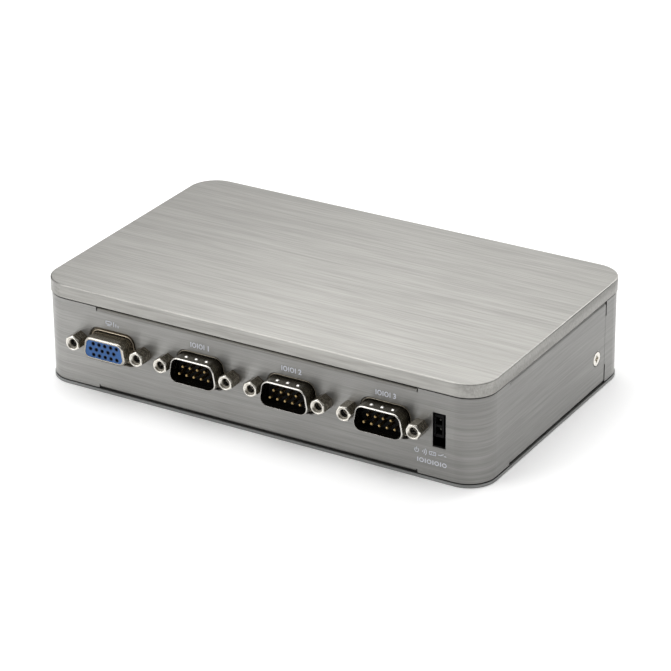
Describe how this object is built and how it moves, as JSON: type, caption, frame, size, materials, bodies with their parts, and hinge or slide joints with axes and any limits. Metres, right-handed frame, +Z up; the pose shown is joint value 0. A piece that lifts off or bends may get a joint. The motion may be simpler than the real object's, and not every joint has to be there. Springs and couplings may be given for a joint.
{
  "type": "fanless industrial pc",
  "caption": "Low fanless computer in a rounded brushed aluminium case, with D-shaped connectors along the front and network, data and power sockets at the back.",
  "frame": {"origin": "centre of the case's flat underside", "axes": "+Z up, -Y out of the wall with the D-shaped connectors, +X to the right when that wall is faced"},
  "size_m": [0.166, 0.1081, 0.036],
  "materials": {
    "cover_aluminium": "brushed along its length, clear anodised",
    "wrap_aluminium": "brushed horizontally round the bends, clear anodised",
    "plate_steel": "plated steel sheet",
    "screw_steel": "nickel plated",
    "nut_steel": "zinc plated",
    "shell_nickel": "bright nickel over stamped steel",
    "jack_nickel": "nickel plated, turned",
    "spreader_aluminium": "milled",
    "can_aluminium": "drawn can",
    "cell_steel": "polished",
    "blue_nylon": "moulded",
    "black_nylon": "moulded",
    "button_plastic": "fine texture",
    "lamp_lens": "tinted lens",
    "contact_gold": "gold plated",
    "board_laminate": "solder-masked laminate",
    "chip_resin": "moulded resin",
    "ferrite": "pressed powder",
    "gap_filler": "soft silicone"
  },
  "bodies": {
    "case": {"base_plate": "plate_steel", "base_screws": "screw_steel", "battery_holder": "black_nylon", "board_chips": "chip_resin", "board_screws": "screw_steel", "board_standoffs": "nut_steel", "capacitors": "can_aluminium", "chipset": "chip_resin", "clinch_nuts": "nut_steel", "coin_cell": "cell_steel", "cover_screws": "screw_steel", "dc_inlet": "black_nylon", "dc_inlet_pin": "shell_nickel", "display_socket_contacts": "contact_gold", "display_socket_insert": "blue_nylon", "display_socket_shell": "shell_nickel", "front_wrap": "wrap_aluminium", "heat_spreader": "spreader_aluminium", "jackscrews": "jack_nickel", "led_holder": "black_nylon", "main_board": "board_laminate", "memory_chips": "chip_resin", "memory_module": "board_laminate", "memory_socket": "black_nylon", "mounting_nuts": "nut_steel", "network_contacts": "contact_gold", "network_inserts": "black_nylon", "network_shells": "shell_nickel", "port_brackets": "nut_steel", "power_inductors": "ferrite", "power_led": "lamp_lens", "power_switch": "black_nylon", "processor": "chip_resin", "rear_wrap": "wrap_aluminium", "remote_header": "black_nylon", "remote_header_pins": "contact_gold", "serial_insert_1": "black_nylon", "serial_insert_2": "black_nylon", "serial_insert_3": "black_nylon", "serial_pins_1": "contact_gold", "serial_pins_2": "contact_gold", "serial_pins_3": "contact_gold", "serial_shell_1": "shell_nickel", "serial_shell_2": "shell_nickel", "serial_shell_3": "shell_nickel", "side_screws": "screw_steel", "spreader_screws": "screw_steel", "storage_card": "board_laminate", "storage_chips": "chip_resin", "storage_posts": "nut_steel", "storage_screws": "screw_steel", "storage_socket": "black_nylon", "thermal_pads": "gap_filler", "top_cover": "cover_aluminium", "usb_contacts": "contact_gold", "usb_inserts": "black_nylon", "usb_shells": "shell_nickel"},
    "button": {"power_button": "button_plastic"}
  },
  "joints": [
    {"name": "power_button_press", "type": "slide", "parent": "case", "child": "button", "axis": [0, -1, 0], "range_m": [0, 0.0008], "stiffness_N_per_m": 1500}
  ]
}
